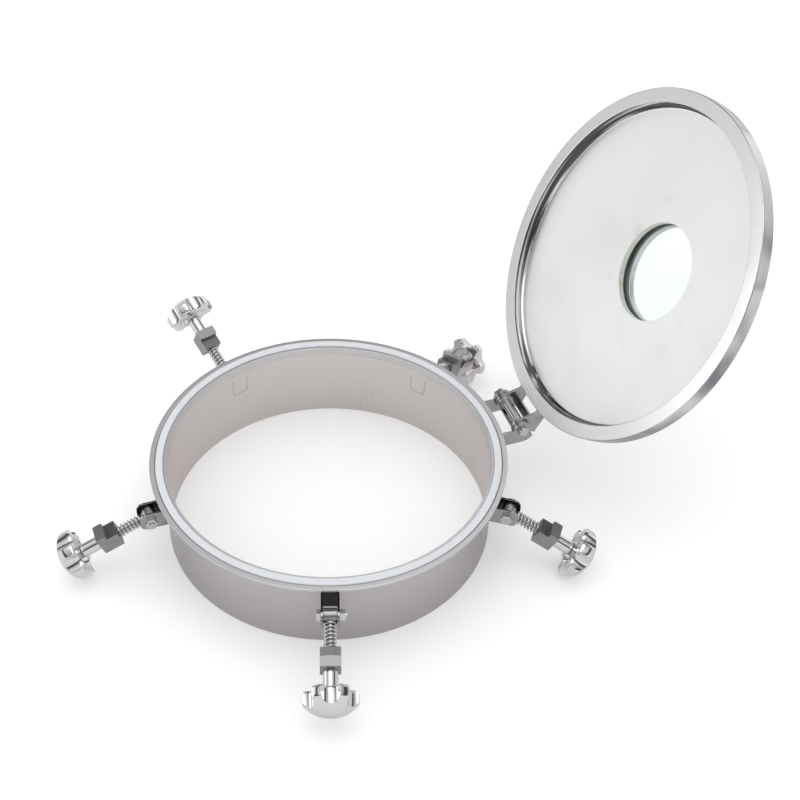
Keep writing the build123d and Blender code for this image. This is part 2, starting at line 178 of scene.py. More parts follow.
def nothing_picked():
    if bpy.context.mode != "OBJECT":
        bpy.ops.object.mode_set(mode="OBJECT")
    bpy.ops.object.select_all(action="DESELECT")


def settle(piece):
    """Puts the piece's place and turn into its mesh, so that its object sits at the origin."""
    pick(piece)
    bpy.ops.object.transform_apply(location=True, rotation=True, scale=True)
    return piece


def moved(piece, place):
    """Carries a finished piece to its place with a matrix, then settles it."""
    piece.matrix_world = place @ piece.matrix_world
    return settle(piece)


def face_outwards(piece):
    pick(piece)
    bpy.ops.object.mode_set(mode="EDIT")
    bpy.ops.mesh.select_all(action="SELECT")
    bpy.ops.mesh.remove_doubles(threshold=0.001 * MM)
    bpy.ops.mesh.normals_make_consistent(inside=False)
    bpy.ops.object.mode_set(mode="OBJECT")
    return piece


def bevelled(piece, width, segments=3, angle=32.0):
    """Rounds every edge that turns by more than the angle, and shades the rest smooth."""
    pick(piece)
    bevel = piece.modifiers.new("edges", "BEVEL")
    bevel.width = width
    bevel.segments = segments
    bevel.limit_method = "ANGLE"
    bevel.angle_limit = radians(angle)
    bevel.use_clamp_overlap = True
    bpy.ops.object.modifier_apply(modifier=bevel.name)
    bpy.ops.object.shade_smooth_by_angle(angle=radians(angle + 8))
    return flat_faces_kept(piece)


def flat_faces_kept(piece):
    """Keeps the shading of large faces flat right up to their rounded edges."""
    pick(piece)
    shading = piece.modifiers.new("shading", "WEIGHTED_NORMAL")
    shading.keep_sharp = True
    bpy.ops.object.modifier_apply(modifier=shading.name)
    return piece


def turned(name, outline, steps=ROUND_STEPS, closed=True):
    """A turned piece about Z: a circle extruded from point to point of a (radius, height) outline."""
    nothing_picked()
    start_r, start_z = outline[0]
    bpy.ops.mesh.primitive_circle_add(vertices=steps, radius=start_r, location=(0, 0, start_z))
    piece = settle(bpy.context.object)
    piece.name = name
    bpy.ops.object.mode_set(mode="EDIT")
    bpy.ops.mesh.select_mode(type="EDGE")
    bpy.ops.mesh.select_all(action="SELECT")
    for (r0, z0), (r1, z1) in zip(outline, outline[1:]):
        bpy.ops.mesh.extrude_edges_move(TRANSFORM_OT_translate={"value": (0, 0, z1 - z0)})
        bpy.ops.transform.resize(value=(r1 / r0, r1 / r0, 1), center_override=(0, 0, z1))
    if closed:
        bpy.ops.mesh.select_all(action="DESELECT")
        bpy.ops.mesh.select_non_manifold()
        bpy.ops.mesh.bridge_edge_loops()
    else:
        for _ in range(2):
            bpy.ops.mesh.select_all(action="DESELECT")
            bpy.ops.mesh.select_non_manifold()
            bpy.ops.mesh.edge_face_add()
    bpy.ops.mesh.select_mode(type="VERT")
    bpy.ops.object.mode_set(mode="OBJECT")
    return face_outwards(piece)


def cut_by(piece, *tools):
    """Takes other closed shapes away from a piece, and deletes them."""
    for tool in tools:
        pick(piece)
        cut = piece.modifiers.new("cut", "BOOLEAN")
        cut.operation = "DIFFERENCE"
        cut.solver = "EXACT"
        cut.object = tool
        bpy.ops.object.modifier_apply(modifier=cut.name)
        bpy.data.objects.remove(tool, do_unlink=True)
    return face_outwards(piece)


def bar(radius, start, end, steps=48):
    """Plain round bar between two points, used as a cutting tool or a start."""
    nothing_picked()
    run = Vector(end) - Vector(start)
    bpy.ops.mesh.primitive_cylinder_add(vertices=steps, radius=radius, depth=run.length,
                                        location=(Vector(start) + Vector(end)) / 2,
                                        rotation=run.to_track_quat("Z", "Y").to_euler())
    return settle(bpy.context.object)


def block(low, high):
    """Plain box between two corners."""
    nothing_picked()
    low, high = Vector(low), Vector(high)
    bpy.ops.mesh.primitive_cube_add(size=1, location=(low + high) / 2, scale=high - low)
    return settle(bpy.context.object)


def softened(part, width, angle=32.0):
    """A copy of a flat-sided part with its edges broken, which stands for the plain one."""
    source = frame["nodes"][part]
    pick(source)
    bpy.ops.object.duplicate()
    piece = bpy.context.object
    piece.name = part + "_shaped"
    bpy.ops.object.parent_clear(type="CLEAR_KEEP_TRANSFORM")
    for key in list(piece.keys()):
        del piece[key]
    bpy.ops.mesh.customdata_custom_splitnormals_clear()
    bpy.ops.object.mode_set(mode="EDIT")
    bpy.ops.mesh.select_all(action="SELECT")
    bpy.ops.mesh.remove_doubles(threshold=0.002 * MM)
    bpy.ops.mesh.dissolve_limited(angle_limit=radians(1.0))
    bpy.ops.object.mode_set(mode="OBJECT")
    return bevelled(piece, width, 2, angle)


def round_wire(name, points, radius, roundness, angle):
    """A round bar along a line of points, with closed ends, as a mesh."""
    nothing_picked()
    bpy.ops.curve.primitive_bezier_curve_add(location=(0, 0, 0))
    wire = bpy.context.object
    wire.name = name
    wire.data.splines.clear()
    spline = wire.data.splines.new("POLY")
    spline.points.add(len(points) - 1)
    for point, spot in zip(spline.points, points):
        point.co = (*spot, 1)
    wire.data.dimensions = "3D"
    wire.data.bevel_depth = radius
    wire.data.bevel_resolution = roundness
    wire.data.use_fill_caps = True
    pick(wire)
    bpy.ops.object.convert(target="MESH")
    bpy.ops.object.shade_smooth_by_angle(angle=radians(angle))
    return bpy.context.object


def dressed(piece, body, finish, *nodes):
    """Gives a finished piece its material, unless it has one, its body and the parts it stands for."""
    if finish is not None:
        piece.data.materials.clear()
        piece.data.materials.append(finish)
    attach(piece, body)
    if nodes:
        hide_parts(*nodes)
    return piece


def also_finished(piece, finish, chosen):
    """Gives a second material to the faces whose centre passes a test."""
    piece.data.materials.append(finish)
    slot = len(piece.data.materials) - 1
    for face in piece.data.polygons:
        if chosen(face.center):
            face.material_index = slot
    return piece


# ------------------------------------------------------------------ finishes
def new_group(name, inputs, outputs):
    """An empty shader node group with named sockets, each given as (name, kind, default)."""
    group = bpy.data.node_groups.new(name, "ShaderNodeTree")
    for label, kind, default in inputs:
        socket = group.interface.new_socket(name=label, in_out="INPUT", socket_type=kind)
        if default is not None:
            socket.default_value = default
    for label, kind in outputs:
        group.interface.new_socket(name=label, in_out="OUTPUT", socket_type=kind)
    return group, group.nodes.new("NodeGroupInput"), group.nodes.new("NodeGroupOutput")


def node(tree, kind, **settings):
    made = tree.nodes.new(kind)
    for key, value in settings.items():
        setattr(made, key, value)
    return made


def maths(tree, kind, first, second=None, third=None):
    """A Math node of the given kind; each operand is a number or a socket."""
    made = node(tree, "ShaderNodeMath", operation=kind)
    for socket, operand in zip(made.inputs, (first, second, third)):
        if operand is None:
            continue
        if isinstance(operand, (int, float)):
            socket.default_value = operand
        else:
            tree.links.new(operand, socket)
    return made.outputs[0]


def relief(tree, shader, height, strength, distance=0.2 * MM):
    """Raises the surface a little by a height socket."""
    bump = node(tree, "ShaderNodeBump")
    bump.inputs["Strength"].default_value = strength
    bump.inputs["Distance"].default_value = distance
    tree.links.new(height, bump.inputs["Height"])
    tree.links.new(bump.outputs["Normal"], shader.inputs["Normal"])


def two_tone(tree, mask, first, second):
    """Colour that goes from the first tone, a colour or a socket, to the second by a mask."""
    mix = node(tree, "ShaderNodeMix", data_type="RGBA")
    if isinstance(first, bpy.types.NodeSocket):
        tree.links.new(first, mix.inputs[6])
    else:
        mix.inputs[6].default_value = (*first, 1)
    mix.inputs[7].default_value = (*second, 1)
    tree.links.new(mask, mix.inputs[0])
    return mix.outputs[2]


def grain_group():
    """Fine polishing lines and slow waviness: varied roughness and a height for the bump."""
    group, given, result = new_group(
        "polishing_grain",
        [("Vector", "NodeSocketVector", None), ("Stretch", "NodeSocketVector", (1.0, 1.0, 1.0)),
         ("Low", "NodeSocketFloat", 0.1), ("High", "NodeSocketFloat", 0.3)],
        [("Roughness", "NodeSocketFloat"), ("Height", "NodeSocketFloat")])
    drawn = node(group, "ShaderNodeVectorMath", operation="MULTIPLY")
    group.links.new(given.outputs["Vector"], drawn.inputs[0])
    group.links.new(given.outputs["Stretch"], drawn.inputs[1])
    lines = node(group, "ShaderNodeTexNoise")
    lines.inputs["Scale"].default_value = 900.0
    lines.inputs["Detail"].default_value = 3.0
    group.links.new(drawn.outputs[0], lines.inputs["Vector"])
    slow = node(group, "ShaderNodeTexNoise")
    slow.inputs["Scale"].default_value = 22.0
    slow.inputs["Detail"].default_value = 2.0
    group.links.new(given.outputs["Vector"], slow.inputs["Vector"])
    mixed = maths(group, "MULTIPLY_ADD", lines.outputs["Fac"], 0.55, 0.0)
    mixed = maths(group, "MULTIPLY_ADD", slow.outputs["Fac"], 0.45, mixed)
    spread = node(group, "ShaderNodeMapRange")
    spread.inputs["From Min"].default_value = 0.3
    spread.inputs["From Max"].default_value = 0.7
    group.links.new(mixed, spread.inputs["Value"])
    group.links.new(given.outputs["Low"], spread.inputs["To Min"])
    group.links.new(given.outputs["High"], spread.inputs["To Max"])
    group.links.new(spread.outputs[0], result.inputs["Roughness"])
    group.links.new(lines.outputs["Fac"], result.inputs["Height"])
    return group


def smudge_group():
    """Hand marks and dull patches: a mask of soft blots."""
    group, given, result = new_group(
        "hand_marks",
        [("Vector", "NodeSocketVector", None), ("Scale", "NodeSocketFloat", 14.0),
         ("Amount", "NodeSocketFloat", 0.5)],
        [("Mask", "NodeSocketFloat")])
    blots = node(group, "ShaderNodeTexNoise")
    blots.inputs["Detail"].default_value = 6.0
    blots.inputs["Roughness"].default_value = 0.62
    blots.inputs["Distortion"].default_value = 0.6
    group.links.new(given.outputs["Vector"], blots.inputs["Vector"])
    group.links.new(given.outputs["Scale"], blots.inputs["Scale"])
    ramp = node(group, "ShaderNodeMapRange", interpolation_type="SMOOTHSTEP")
    ramp.inputs["From Min"].default_value = 0.5
    ramp.inputs["From Max"].default_value = 0.78
    group.links.new(blots.outputs["Fac"], ramp.inputs["Value"])
    group.links.new(given.outputs["Amount"], ramp.inputs["To Max"])
    group.links.new(ramp.outputs[0], result.inputs["Mask"])
    return group


GRAIN = grain_group()
SMUDGES = smudge_group()


def new_finish(name):
    """A material with its Principled shader and Object coordinates."""
    finish = bpy.data.materials.new(name)
    finish.use_nodes = True
    tree = finish.node_tree
    shader = tree.nodes["Principled BSDF"]
    place = node(tree, "ShaderNodeTexCoord")
    return finish, tree, shader, place.outputs["Object"]


def grained_metal(name, light, dark, low, high, stretch=(1, 1, 1), bump=0.02, marks=0.5, scale=14.0):
    """Bare metal: polishing lines in the gloss, and hand marks that dull and tint it a little."""
    finish, tree, shader, place = new_finish(name)
    shader.inputs["Metallic"].default_value = 1.0
    grain = node(tree, "ShaderNodeGroup", node_tree=GRAIN)
    grain.inputs["Stretch"].default_value = stretch
    grain.inputs["Low"].default_value = low
    grain.inputs["High"].default_value = high
    tree.links.new(place, grain.inputs["Vector"])
    smudge = node(tree, "ShaderNodeGroup", node_tree=SMUDGES)
    smudge.inputs["Scale"].default_value = scale
    smudge.inputs["Amount"].default_value = marks
    tree.links.new(place, smudge.inputs["Vector"])
    tree.links.new(two_tone(tree, smudge.outputs["Mask"], light, dark), shader.inputs["Base Color"])
    dulled = maths(tree, "MULTIPLY_ADD", smudge.outputs["Mask"], 0.12, grain.outputs["Roughness"])
    tree.links.new(dulled, shader.inputs["Roughness"])
    relief(tree, shader, grain.outputs["Height"], bump)
    return finish


def plain_finish(name, colour, other, rough_low, rough_high, scale, bump):
    """Non-metal surface with a slow change of tone and a fine texture."""
    finish, tree, shader, place = new_finish(name)
    cloud = node(tree, "ShaderNodeTexNoise")
    cloud.inputs["Scale"].default_value = scale
    cloud.inputs["Detail"].default_value = 4.0
    tree.links.new(place, cloud.inputs["Vector"])
    tree.links.new(two_tone(tree, cloud.outputs["Fac"], colour, other), shader.inputs["Base Color"])
    gloss = node(tree, "ShaderNodeMapRange")
    gloss.inputs["To Min"].default_value = rough_low
    gloss.inputs["To Max"].default_value = rough_high
    tree.links.new(cloud.outputs["Fac"], gloss.inputs["Value"])
    tree.links.new(gloss.outputs[0], shader.inputs["Roughness"])
    relief(tree, shader, cloud.outputs["Fac"], bump)
    return finish


def clear_glass():
    """Thick sight glass: clear, with a faint sea-green body colour and dust on its face."""
    finish, tree, shader, place = new_finish("sight_glass_clear")
    shader.inputs["Transmission Weight"].default_value = 1.0
    shader.inputs["IOR"].default_value = 1.5
    shader.inputs["Metallic"].default_value = 0.0
    dust = node(tree, "ShaderNodeTexNoise")
    dust.inputs["Scale"].default_value = 260.0
    tree.links.new(place, dust.inputs["Vector"])
    gloss = node(tree, "ShaderNodeMapRange")
    gloss.inputs["To Min"].default_value = 0.0
    gloss.inputs["To Max"].default_value = 0.06
    tree.links.new(dust.outputs["Fac"], gloss.inputs["Value"])
    tree.links.new(gloss.outputs[0], shader.inputs["Roughness"])
    tint = two_tone(tree, dust.outputs["Fac"], (0.93, 0.985, 0.97), (0.87, 0.96, 0.94))
    tree.links.new(tint, shader.inputs["Base Color"])
    return finish


def neck_wall_finish():
    """Rolled sheet with upright drawing lines, the heat prints of the clamp brackets' welds, and painted
    light that makes the bore side lighter than the outside.
    """
    finish = grained_metal("neck_sheet", (0.66, 0.635, 0.655), (0.58, 0.56, 0.575), 0.22, 0.27,
                           stretch=(1.0, 1.0, 0.05), bump=0.004, marks=0.5, scale=7.0)
    tree = finish.node_tree
    shader = tree.nodes["Principled BSDF"]
    base = shader.inputs["Base Color"].links[0].from_socket
    place = node(tree, "ShaderNodeTexCoord").outputs["Object"]
    parts = node(tree, "ShaderNodeSeparateXYZ")
    tree.links.new(place, parts.inputs[0])
    turn = maths(tree, "ARCTAN2", parts.outputs["Y"], parts.outputs["X"])
    spacing = tau / len(CLAMP_AZIMUTHS)
    shifted = maths(tree, "SUBTRACT", turn, radians(CLAMP_AZIMUTHS[0]))
    near = maths(tree, "WRAP", shifted, spacing / 2, -spacing / 2)
    across = maths(tree, "ABSOLUTE", maths(tree, "MULTIPLY", near, BORE_R))
    down = maths(tree, "SUBTRACT", PIVOT.z, parts.outputs["Z"])
    side = maths(tree, "SUBTRACT", across, HEAT_PRINT_HALF)
    foot = maths(tree, "SUBTRACT", down, HEAT_PRINT_DROP)
    edge = maths(tree, "ABSOLUTE", maths(tree, "SMOOTH_MAX", side, foot, 4.0 * MM))
    line = node(tree, "ShaderNodeMapRange", interpolation_type="SMOOTHSTEP")
    line.inputs["From Min"].default_value = 0.2 * MM
    line.inputs["From Max"].default_value = 1.1 * MM
    line.inputs["To Min"].default_value = 1.0
    line.inputs["To Max"].default_value = 0.0
    tree.links.new(edge, line.inputs["Value"])
    low_enough = maths(tree, "GREATER_THAN", down, -HEAT_PRINT_DROP)
    bore_side = maths(tree, "LESS_THAN", node_radius(tree, parts), BORE_R + 1.0 * MM)
    # Painted light: the bore side of the sheet is coloured 1.34 times lighter than the outside.
    inside = node(tree, "ShaderNodeMix", data_type="RGBA", blend_type="MULTIPLY")
    inside.inputs[7].default_value = (1.34, 1.33, 1.25, 1)
    tree.links.new(bore_side, inside.inputs[0])
    tree.links.new(base, inside.inputs[6])
    mask = maths(tree, "MULTIPLY", maths(tree, "MULTIPLY", line.outputs[0], low_enough), bore_side)
    mask = maths(tree, "MULTIPLY", mask, 0.42)
    scorched = two_tone(tree, mask, inside.outputs[2], (0.30, 0.27, 0.24))
    tree.links.new(scorched, shader.inputs["Base Color"])
    return finish


def painted_reflection_metal(name, bright, deep, low, high, centre, tilt, around, along, share):
    """Mirror-bright wall with broken dark and light streaks running round its own axis painted into its
    colour: painted reflections.
    """
    finish, tree, shader, place = new_finish(name)
    shader.inputs["Metallic"].default_value = 1.0
    local = node(tree, "ShaderNodeMapping", vector_type="TEXTURE")
    local.inputs["Location"].default_value = centre
    local.inputs["Rotation"].default_value = (tilt, 0.0, 0.0)
    tree.links.new(place, local.inputs["Vector"])
    parts = node(tree, "ShaderNodeSeparateXYZ")
    tree.links.new(local.outputs[0], parts.inputs[0])
    turn = maths(tree, "ARCTAN2", parts.outputs["Y"], parts.outputs["X"])
    wound = node(tree, "ShaderNodeCombineXYZ")
    for axis, kind in (("X", "COSINE"), ("Y", "SINE")):
        tree.links.new(maths(tree, "MULTIPLY", maths(tree, kind, turn), around), wound.inputs[axis])
    depth = maths(tree, "MULTIPLY", parts.outputs["Z"], along)
    tree.links.new(depth, wound.inputs["Z"])
    streaks = node(tree, "ShaderNodeTexNoise")
    streaks.inputs["Scale"].default_value = 1.0
    streaks.inputs["Detail"].default_value = 3.0
    tree.links.new(wound.outputs[0], streaks.inputs["Vector"])
    edge = node(tree, "ShaderNodeMapRange", interpolation_type="SMOOTHSTEP")
    edge.inputs["From Min"].default_value = share - 0.07
    edge.inputs["From Max"].default_value = share + 0.09
    tree.links.new(streaks.outputs["Fac"], edge.inputs["Value"])
    # The streaks paint dark and light reflections into the base colour.
    tree.links.new(two_tone(tree, edge.outputs[0], bright, deep), shader.inputs["Base Color"])
    gloss = node(tree, "ShaderNodeMapRange")
    gloss.inputs["To Min"].default_value = low
    gloss.inputs["To Max"].default_value = high
    tree.links.new(streaks.outputs["Fac"], gloss.inputs["Value"])
    tree.links.new(gloss.outputs[0], shader.inputs["Roughness"])
    relief(tree, shader, streaks.outputs["Fac"], 0.06, 0.3 * MM)
    return finish


def lid_plate_finish():
    """Satin pressed sheet, faintly straw-tinted by heat round the welded sight frame."""
    finish = grained_metal("lid_plate_satin", (0.95, 0.95, 0.955), (0.88, 0.875, 0.865), 0.42, 0.5,
                           bump=0.006, marks=0.6, scale=7.0)
    tree = finish.node_tree
    shader = tree.nodes["Principled BSDF"]
    base = shader.inputs["Base Color"].links[0].from_socket
    local = node(tree, "ShaderNodeMapping", vector_type="TEXTURE")
    local.inputs["Location"].default_value = OPENING @ SIGHT
    local.inputs["Rotation"].default_value = (-LID_OPEN, 0.0, 0.0)
    tree.links.new(node(tree, "ShaderNodeTexCoord").outputs["Object"], local.inputs["Vector"])
    parts = node(tree, "ShaderNodeSeparateXYZ")
    tree.links.new(local.outputs[0], parts.inputs[0])
    near = node(tree, "ShaderNodeMapRange", interpolation_type="SMOOTHSTEP")
    near.inputs["From Min"].default_value = SIGHT_FRAME_R * 1.35
    near.inputs["From Max"].default_value = SIGHT_FRAME_R * 0.85
    tree.links.new(node_radius(tree, parts), near.inputs["Value"])
    blots = node(tree, "ShaderNodeGroup", node_tree=SMUDGES)
    blots.inputs["Scale"].default_value = 34.0
    blots.inputs["Amount"].default_value = 0.8
    tree.links.new(local.outputs[0], blots.inputs["Vector"])
    halo = maths(tree, "MULTIPLY", near.outputs[0], blots.outputs["Mask"])
    tree.links.new(two_tone(tree, halo, base, (0.80, 0.775, 0.73)), shader.inputs["Base Color"])
    return finish


def node_radius(tree, parts):
    """Distance from the Z axis of separated coordinates, as a socket."""
    squares = maths(tree, "MULTIPLY_ADD", parts.outputs["X"], parts.outputs["X"],
                     maths(tree, "MULTIPLY", parts.outputs["Y"], parts.outputs["Y"]))
    return maths(tree, "SQRT", squares)


NECK_SHEET = neck_wall_finish()
RIM_STEEL = grained_metal("rim_polished", (0.80, 0.80, 0.80), (0.70, 0.69, 0.68), 0.12, 0.24,
                          bump=0.015, marks=0.4, scale=20.0)
LID_STEEL = grained_metal("lid_rim_polished", (0.80, 0.80, 0.80), (0.68, 0.67, 0.66), 0.16, 0.28,
                          bump=0.02, marks=0.5, scale=16.0)
LID_SATIN = lid_plate_finish()
# The lid's inner wall and outer skirt get painted reflections: dark and light streaks in their colour.
LID_WALL_PAINTED_REFLECTION = painted_reflection_metal("lid_wall_painted_reflection", (0.80, 0.79, 0.78), (0.12, 0.115, 0.11), 0.06, 0.16,
                          centre=PIN, tilt=-LID_OPEN, around=2.6, along=300.0, share=0.46)
LID_SKIRT_PAINTED_REFLECTION = painted_reflection_metal("lid_skirt_painted_reflection", (0.80, 0.80, 0.80), (0.20, 0.20, 0.22), 0.05, 0.12,
                           centre=PIN, tilt=-LID_OPEN, around=3.2, along=12.0, share=0.6)
# Near black for the faces between the clevis ears: painted shade and painted dark reflection in the gap.
BRACKET_GAP_PAINTED_SHADE = grained_metal("bracket_gap_painted_shade", (0.05, 0.047, 0.045), (0.02, 0.019, 0.018), 0.2, 0.34,
                             bump=0.03, marks=0.6, scale=80.0)
# Lighter metal for the claw's rounded edges: a painted highlight along the edges.
CLAW_EDGE_PAINTED_HIGHLIGHT = grained_metal("claw_edge_painted_highlight", (0.80, 0.79, 0.78), (0.62, 0.61, 0.60), 0.12, 0.22,
                          bump=0.02, marks=0.3, scale=120.0)
# Darker metal for the claw's pocket floor: painted shade in the recess.
CLAW_POCKET_PAINTED_SHADE = grained_metal("claw_pocket_painted_shade", (0.20, 0.195, 0.19), (0.14, 0.135, 0.13), 0.3, 0.45,
                          bump=0.2, marks=0.5, scale=120.0)
BRACKET_STEEL = grained_metal("bracket_plate", (0.50, 0.495, 0.49), (0.34, 0.33, 0.32), 0.14, 0.28,
                              bump=0.03, marks=0.6, scale=60.0)
CAST_STEEL = grained_metal("claw_casting", (0.38, 0.37, 0.37), (0.28, 0.27, 0.27), 0.28, 0.42,
                           bump=0.2, marks=0.5, scale=120.0)
KNOB_STEEL = grained_metal("knob_bright", (0.84, 0.83, 0.82), (0.70, 0.69, 0.68), 0.04, 0.11,
                           bump=0.012, marks=0.3, scale=50.0)
FASTENER_STEEL = grained_metal("fastener_bright", (0.74, 0.735, 0.73), (0.56, 0.55, 0.54), 0.12, 0.22,
                               bump=0.03, marks=0.4, scale=90.0)
ROD_STEEL = grained_metal("rod_thread", (0.44, 0.43, 0.42), (0.32, 0.31, 0.30), 0.2, 0.34,
                          bump=0.05, marks=0.5, scale=120.0)
SPRING_STEEL = grained_metal("spring_wire", (0.84, 0.83, 0.82), (0.66, 0.65, 0.64), 0.12, 0.22,
                             bump=0.02, marks=0.3, scale=150.0)
SIGHT_BORE_STEEL = grained_metal("sight_bore_steel", (0.62, 0.60, 0.55), (0.40, 0.36, 0.30), 0.25,
                                 0.4, bump=0.05, marks=0.9, scale=30.0)
SILICONE = plain_finish("gasket_silicone", (0.66, 0.68, 0.72), (0.71, 0.73, 0.77), 0.42, 0.55,
                        scale=30.0, bump=0.03)
SEAL = plain_finish("sight_seal", (0.20, 0.24, 0.22), (0.28, 0.30, 0.27), 0.5, 0.7,
                    scale=80.0, bump=0.1)
GLASS = clear_glass()


# ------------------------------------------------------------------ fixed pieces on the neck
def clamp_place(number, droop=0.0):
    """Place of a clamp round the neck, with its rod swung below level by an angle in degrees."""
    return (Matrix.Rotation(radians(CLAMP_AZIMUTHS[number - 1]), 4, "Z") @ Matrix.Translation(PIVOT)
            @ Matrix.Rotation(radians(droop), 4, "Y"))


def neck_tube():
    piece = turned("neck_wall", [(BORE_R, 0.0), (NECK_R, 0.0), (NECK_R, COLLAR_Z), (BORE_R, COLLAR_Z)])
    dressed(bevelled(piece, 0.25 * MM), "neck", NECK_SHEET, "neck_tube")


def rim_flange():
    piece = turned("sealing_rim", [
        (BORE_R, COLLAR_Z), (NECK_R, COLLAR_Z), (NECK_R, RIM_UNDER), (RIM_SIDE_R, RIM_UNDER),
        (RIM_SIDE_R, RIM_Z - LIP_T), (RIM_R, RIM_Z - LIP_T), (RIM_R, RIM_Z), (GROOVE_R1, RIM_Z),
        (GROOVE_R1, GROOVE_FLOOR), (GROOVE_R0, GROOVE_FLOOR), (GROOVE_R0, RIM_Z), (BORE_R, RIM_Z)])
    dressed(bevelled(piece, 0.35 * MM), "neck", RIM_STEEL, "rim_flange")


def rim_gasket():
    piece = turned("rim_seal", [(GASKET_R0, GROOVE_FLOOR), (GASKET_R1, GROOVE_FLOOR),
                                (GASKET_R1, GASKET_Z), (GASKET_R0, GASKET_Z)])
    dressed(bevelled(piece, 0.9 * MM, 4), "neck", SILICONE, "rim_gasket")


def neck_fittings():
    for name in ("hinge_neck_bracket", "hinge_washers"):
        finish = FASTENER_STEEL if name == "hinge_washers" else BRACKET_STEEL
        dressed(softened(name, 0.3 * MM), "neck", finish, name)
    for name in ("hinge_pin", "hinge_nut"):
        dressed(softened(name, 0.35 * MM), "neck", FASTENER_STEEL, name)
    for number in range(1, len(CLAMP_AZIMUTHS) + 1):
        bracket = softened(f"clevis_{number}", 0.3 * MM)
        dressed(bracket, "neck", BRACKET_STEEL, f"clevis_{number}")
        home = clamp_place(number).inverted()
        # Faces in the gap between the ears are painted near black: painted shade.
        also_finished(bracket, BRACKET_GAP_PAINTED_SHADE, lambda spot: abs((home @ Vector(spot)).y) < CLEVIS_HALF_GAP)
        for name in ("pivot_bolt", "pivot_nut"):
            dressed(softened(f"{name}_{number}", 0.3 * MM), "neck", FASTENER_STEEL, f"{name}_{number}")


# ------------------------------------------------------------------ lid
def lid_radius(spot, centre=Vector((0, 0, 0))):
    """Distance of a point on the opened lid from the lid's axis, or from one beside it."""
    local = OPENING.inverted() @ Vector(spot) - centre
    return hypot(local.x, local.y)


def lid_rim():
    piece = turned("lid_edge", [
        (LID_WALL_R, LID_FACE_Z), (LID_R, LID_FACE_Z), (LID_R, LID_TOP_Z),
        (LID_R - LID_SHEET, LID_TOP_Z), (LID_R - LID_SHEET, LID_FACE_Z + LID_SHEET),
        (LID_WALL_R + LID_SHEET, LID_FACE_Z + LID_SHEET), (LID_WALL_R + LID_SHEET, PLATE_Z1),
        (LID_WALL_R, PLATE_Z1)])
    bevelled(piece, 1.3 * MM, 4)
    dressed(moved(piece, OPENING), "lid", LID_STEEL, "lid_rim")
    # The lid's inner wall and outer skirt take the painted reflection streaks.
    also_finished(piece, LID_WALL_PAINTED_REFLECTION, lambda spot: abs(lid_radius(spot) - LID_WALL_R) < 0.4 * MM)
    also_finished(piece, LID_SKIRT_PAINTED_REFLECTION, lambda spot: abs(lid_radius(spot) - LID_R) < 0.4 * MM)


def lid_plate():
    curve = [(LID_WALL_R - WELD_R * (1 - cos(turn)), PLATE_Z0 - WELD_R * (1 - sin(turn)))
             for turn in [pi / 2 * step / 8 for step in range(9)]]
    outline = curve[::-1] + [(LID_WALL_R, PLATE_Z0 - WELD_R * 0.5), (LID_WALL_R, PLATE_Z1)]
    piece = turned("lid_pan", outline, closed=False)
    hole = bar(SIGHT_FRAME_R - 0.05 * MM, SIGHT + Vector((0, 0, PLATE_Z0 - CUT_OVER)),
               SIGHT + Vector((0, 0, PLATE_Z1 + CUT_OVER)), SIGHT_STEPS)
    cut_by(piece, hole)
    bpy.ops.object.shade_smooth_by_angle(angle=radians(30))
    dressed(moved(piece, OPENING), "lid", LID_SATIN, "lid_plate")
    # The weld fillet takes the painted reflection streaks of the wall.
    also_finished(piece, LID_WALL_PAINTED_REFLECTION, lambda spot: lid_radius(spot) > LID_WALL_R - WELD_R * 0.7)


def sight_stack():
    frame_top = COVER_Z0 - 1.0 * MM
    pocket_r = GLASS_R + 0.4 * MM
    body = turned("sight_housing", [
        (SIGHT_BORE_R, PLATE_Z0), (SIGHT_FRAME_R, PLATE_Z0), (SIGHT_FRAME_R, frame_top),
        (pocket_r, frame_top), (pocket_r, SIGHT_SEAT_Z), (SIGHT_BORE_R, SIGHT_SEAT_Z)], SIGHT_STEPS)
    bevelled(body, 0.1 * MM)
    dressed(moved(body, OPENING @ TO_SIGHT), "lid", LID_SATIN, "sight_frame")
    also_finished(body, SIGHT_BORE_STEEL,
                  lambda spot: lid_radius(spot, SIGHT) < SIGHT_BORE_R + 0.15 * MM)
    for name, z0 in (("inner", SIGHT_SEAT_Z), ("outer", GLASS_Z1)):
        seal = turned(f"sight_gasket_{name}", [
            (SIGHT_BORE_R + MM, z0), (GLASS_R, z0), (GLASS_R, z0 + SIGHT_SEAL_T),
            (SIGHT_BORE_R + MM, z0 + SIGHT_SEAL_T)], SIGHT_STEPS)
        bevelled(seal, 0.2 * MM)
        dressed(moved(seal, OPENING @ TO_SIGHT), "lid", SEAL, f"sight_seal_{name}")
    glass = turned("sight_window", [(GLASS_R, GLASS_Z0), (GLASS_R, GLASS_Z1)], SIGHT_STEPS, closed=False)
    bevelled(glass, 0.8 * MM, 3)
    dressed(moved(glass, OPENING @ TO_SIGHT), "lid", GLASS, "sight_glass")
    cover = turned("sight_clamp_ring", [
        (SIGHT_BORE_R, COVER_Z0), (SIGHT_FRAME_R, COVER_Z0), (SIGHT_FRAME_R, COVER_Z1),
        (SIGHT_BORE_R, COVER_Z1)], SIGHT_STEPS)
    bevelled(cover, 0.8 * MM, 3)
    dressed(moved(cover, OPENING @ TO_SIGHT), "lid", RIM_STEEL, "sight_cover_ring")
    dressed(softened("sight_screws", 0.3 * MM), "lid", FASTENER_STEEL, "sight_screws")


